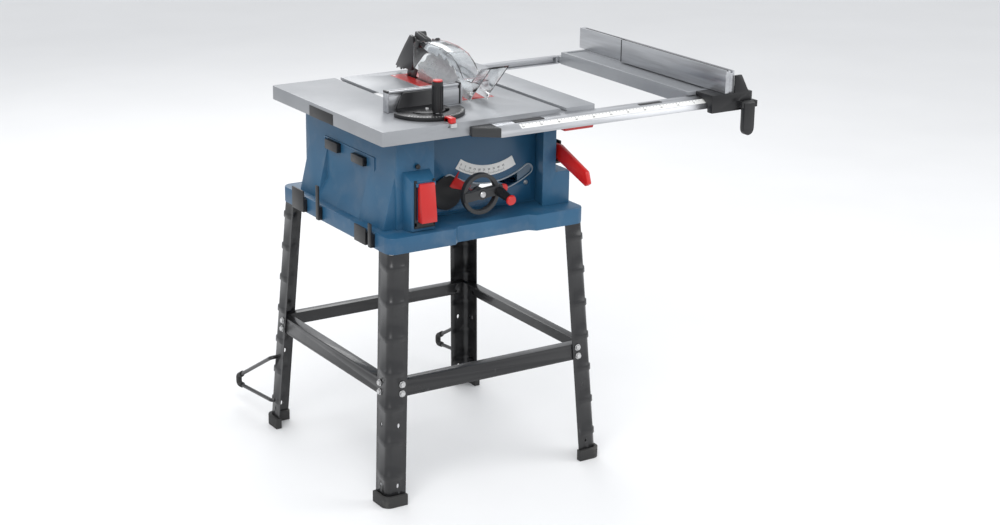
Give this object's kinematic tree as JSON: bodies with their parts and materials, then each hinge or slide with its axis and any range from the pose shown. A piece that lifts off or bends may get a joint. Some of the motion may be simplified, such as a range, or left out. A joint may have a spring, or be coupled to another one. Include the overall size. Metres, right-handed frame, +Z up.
{
  "type": "table saw",
  "caption": "Jobsite table saw on a bolted stand, with a tilting guarded blade, rip fence on an extending table and a mitre gauge.",
  "frame": {"origin": "middle of the saw's footprint on the floor", "axes": "+X to the operator's right, +Y away from the operator, +Z up"},
  "size_m": [1.0526, 0.8596, 1.025],
  "materials": {
    "table_paint": "cast, painted light grey",
    "red_paint": "satin",
    "blue_plastic": "moulded",
    "blue_panel": "satin",
    "blue_flange": "moulded",
    "white_plate": "printed",
    "cast_alloy": "die cast",
    "black_plastic": "moulded",
    "bright_steel": "machined",
    "red_plastic": "moulded",
    "black_steel": "satin",
    "clear_guard": "clear polycarbonate",
    "grey_plastic": "moulded",
    "rail_aluminium": "anodised",
    "green_plastic": "moulded",
    "rubber": "moulded",
    "stand_paint": "satin powder coat"
  },
  "bodies": {
    "stand_and_body": {"leg_front_left": "stand_paint", "leg_front_right": "stand_paint", "leg_rear_left": "stand_paint", "leg_rear_right": "stand_paint", "beam_front": "stand_paint", "beam_rear": "stand_paint", "beam_left": "stand_paint", "beam_right": "stand_paint", "tip_loop_left": "stand_paint", "tip_loop_right": "stand_paint", "rubber_feet": "rubber", "bolts": "bright_steel", "table_top": "table_paint", "table_insert": "red_paint", "housing": "blue_plastic", "front_panel": "blue_panel", "base_flange": "blue_flange", "bevel_scale": "white_plate", "trunnions": "cast_alloy", "switch_box": "blue_plastic", "body_fittings": "black_plastic", "dust_port": "black_plastic"},
    "tilt": {"tilt_frame": "cast_alloy", "guide_rods": "bright_steel", "bevel_pointer": "red_plastic", "riving_knife": "black_steel"},
    "pawls": {"kickback_pawls": "black_steel"},
    "guard_link": {"guard_bracket": "black_plastic"},
    "guard": {"blade_guard": "clear_guard"},
    "carriage": {"gearcase": "cast_alloy", "motor_housing": "black_plastic", "drive_bearings": "bright_steel"},
    "arbor": {"saw_blade": "bright_steel", "arbor_shaft": "bright_steel", "outer_flange": "bright_steel", "arbor_nut": "bright_steel"},
    "rotor": {"motor_rotor": "bright_steel"},
    "screw": {"height_screw": "bright_steel"},
    "handwheel": {"crank_shaft": "bright_steel", "handwheel": "grey_plastic"},
    "knob": {"crank_knob": "black_plastic"},
    "lock": {"bevel_lock_lever": "black_plastic"},
    "extension": {"front_rail": "rail_aluminium", "rail_end_cap": "grey_plastic", "rear_rail": "rail_aluminium", "extension_beam": "table_paint"},
    "rail_clamp": {"rail_lever": "red_plastic"},
    "fence": {"fence_body": "rail_aluminium", "fence_carriage": "black_plastic"},
    "fence_face": {"fence_plate": "rail_aluminium"},
    "fence_clamp": {"fence_handle": "black_plastic"},
    "mitre_slide": {"mitre_bar": "bright_steel"},
    "mitre_head": {"mitre_head": "black_plastic", "mitre_fence": "rail_aluminium"},
    "mitre_knob": {"mitre_knob": "black_plastic"},
    "cover": {"switch_cover": "red_plastic"},
    "on": {"on_button": "green_plastic"},
    "off": {"off_button": "red_plastic"},
    "reset": {"reset_button": "black_plastic"},
    "stick": {"push_stick": "red_plastic"}
  },
  "joints": [
    {"name": "bevel_tilt", "type": "hinge", "parent": "stand_and_body", "child": "tilt", "pos_m": [-0.14571, 0.0042, 0.905], "axis": [0, -1, 0], "range_deg": [0, 45]},
    {"name": "blade_height", "type": "slide", "parent": "tilt", "child": "carriage", "axis": [0, 0, 1], "range_m": [-0.08, 0]},
    {"name": "arbor_spin", "type": "hinge", "parent": "carriage", "child": "arbor", "pos_m": [-0.14571, 0.0042, 0.858], "axis": [1, 0, 0], "continuous": true},
    {"name": "motor_spin", "type": "hinge", "parent": "carriage", "child": "rotor", "pos_m": [-0.14571, 0.02455, 0.828], "axis": [1, 0, 0], "continuous": true},
    {"name": "height_screw_turn", "type": "hinge", "parent": "tilt", "child": "screw", "pos_m": [-0.21514, -0.0728, 0.8], "axis": [0, 0, 1], "range_deg": [-5761, 1]},
    {"name": "handwheel_turn", "type": "hinge", "parent": "tilt", "child": "handwheel", "pos_m": [-0.21514, -0.2948, 0.71424], "axis": [0, 1, 0], "range_deg": [-2881, 1]},
    {"name": "crank_knob_spin", "type": "hinge", "parent": "handwheel", "child": "knob", "pos_m": [-0.17031, -0.3048, 0.71816], "axis": [0, -0.9816, -0.1908], "continuous": true},
    {"name": "bevel_lock", "type": "hinge", "parent": "tilt", "child": "lock", "pos_m": [-0.21514, -0.2808, 0.71424], "axis": [0, -1, 0], "range_deg": [0, 35]},
    {"name": "pawl_swing", "type": "hinge", "parent": "tilt", "child": "pawls", "pos_m": [-0.14571, 0.1352, 0.972], "axis": [1, 0, 0], "range_deg": [0, 25], "stiffness_Nm_per_rad": 0.05, "springref_deg": -17.19},
    {"name": "guard_follow", "type": "hinge", "parent": "tilt", "child": "guard_link", "pos_m": [-0.14571, 0.0672, 1.005], "axis": [-1, 0, 0], "range_deg": [-1, 31]},
    {"name": "guard_lift", "type": "hinge", "parent": "guard_link", "child": "guard", "pos_m": [-0.14571, 0.0672, 1.005], "axis": [-1, 0, 0], "range_deg": [0, 45]},
    {"name": "extension_slide", "type": "slide", "parent": "stand_and_body", "child": "extension", "axis": [1, 0, 0], "range_m": [-0.271, 0]},
    {"name": "rail_lever_turn", "type": "hinge", "parent": "stand_and_body", "child": "rail_clamp", "pos_m": [0.07329, -0.3228, 0.857], "axis": [0, 0, 1], "range_deg": [0, 60]},
    {"name": "fence_slide", "type": "slide", "parent": "extension", "child": "fence", "axis": [1, 0, 0], "range_m": [-0.25, 0]},
    {"name": "fence_face_slide", "type": "slide", "parent": "fence", "child": "fence_face", "axis": [0, 1, 0], "range_m": [0, 0.19]},
    {"name": "fence_handle_lift", "type": "hinge", "parent": "fence", "child": "fence_clamp", "pos_m": [0.46629, -0.4208, 0.878], "axis": [-1, 0, 0], "range_deg": [0, 50]},
    {"name": "mitre_slide", "type": "slide", "parent": "stand_and_body", "child": "mitre_slide", "axis": [0, -1, 0], "range_m": [-0.25, 0.1]},
    {"name": "mitre_swivel", "type": "hinge", "parent": "mitre_slide", "child": "mitre_head", "pos_m": [-0.31771, -0.2198, 0.91], "axis": [0, 0, 1], "range_deg": [-60, 60]},
    {"name": "mitre_knob_turn", "type": "hinge", "parent": "mitre_slide", "child": "mitre_knob", "pos_m": [-0.31771, -0.2678, 0.95], "axis": [0, 0, 1], "range_deg": [0, 720]},
    {"name": "switch_cover_flip", "type": "hinge", "parent": "stand_and_body", "child": "cover", "pos_m": [-0.37671, -0.3148, 0.764], "axis": [-1, 0, 0], "range_deg": [0, 95]},
    {"name": "on_press", "type": "slide", "parent": "stand_and_body", "child": "on", "axis": [0, 1, 0], "range_m": [0, 0.0025], "stiffness_N_per_m": 400, "springref_m": -0.002},
    {"name": "off_press", "type": "slide", "parent": "stand_and_body", "child": "off", "axis": [0, 1, 0], "range_m": [0, 0.0025], "stiffness_N_per_m": 400, "springref_m": -0.002},
    {"name": "reset_press", "type": "slide", "parent": "stand_and_body", "child": "reset", "axis": [0, 1, 0], "range_m": [0, 0.002], "stiffness_N_per_m": 400, "springref_m": -0.002},
    {"name": "push_stick_draw", "type": "slide", "parent": "stand_and_body", "child": "stick", "axis": [0, -1, 0], "range_m": [0, 0.2]}
  ],
  "couplings": [
    {"joint": "motor_spin", "follows": "arbor_spin", "ratio": -4.2727},
    {"joint": "height_screw_turn", "follows": "blade_height", "rad_per_m": 1256.6},
    {"joint": "handwheel_turn", "follows": "blade_height", "rad_per_m": 628.32},
    {"joint": "guard_follow", "follows": "bevel_tilt", "ratio": 0.66667}
  ]
}
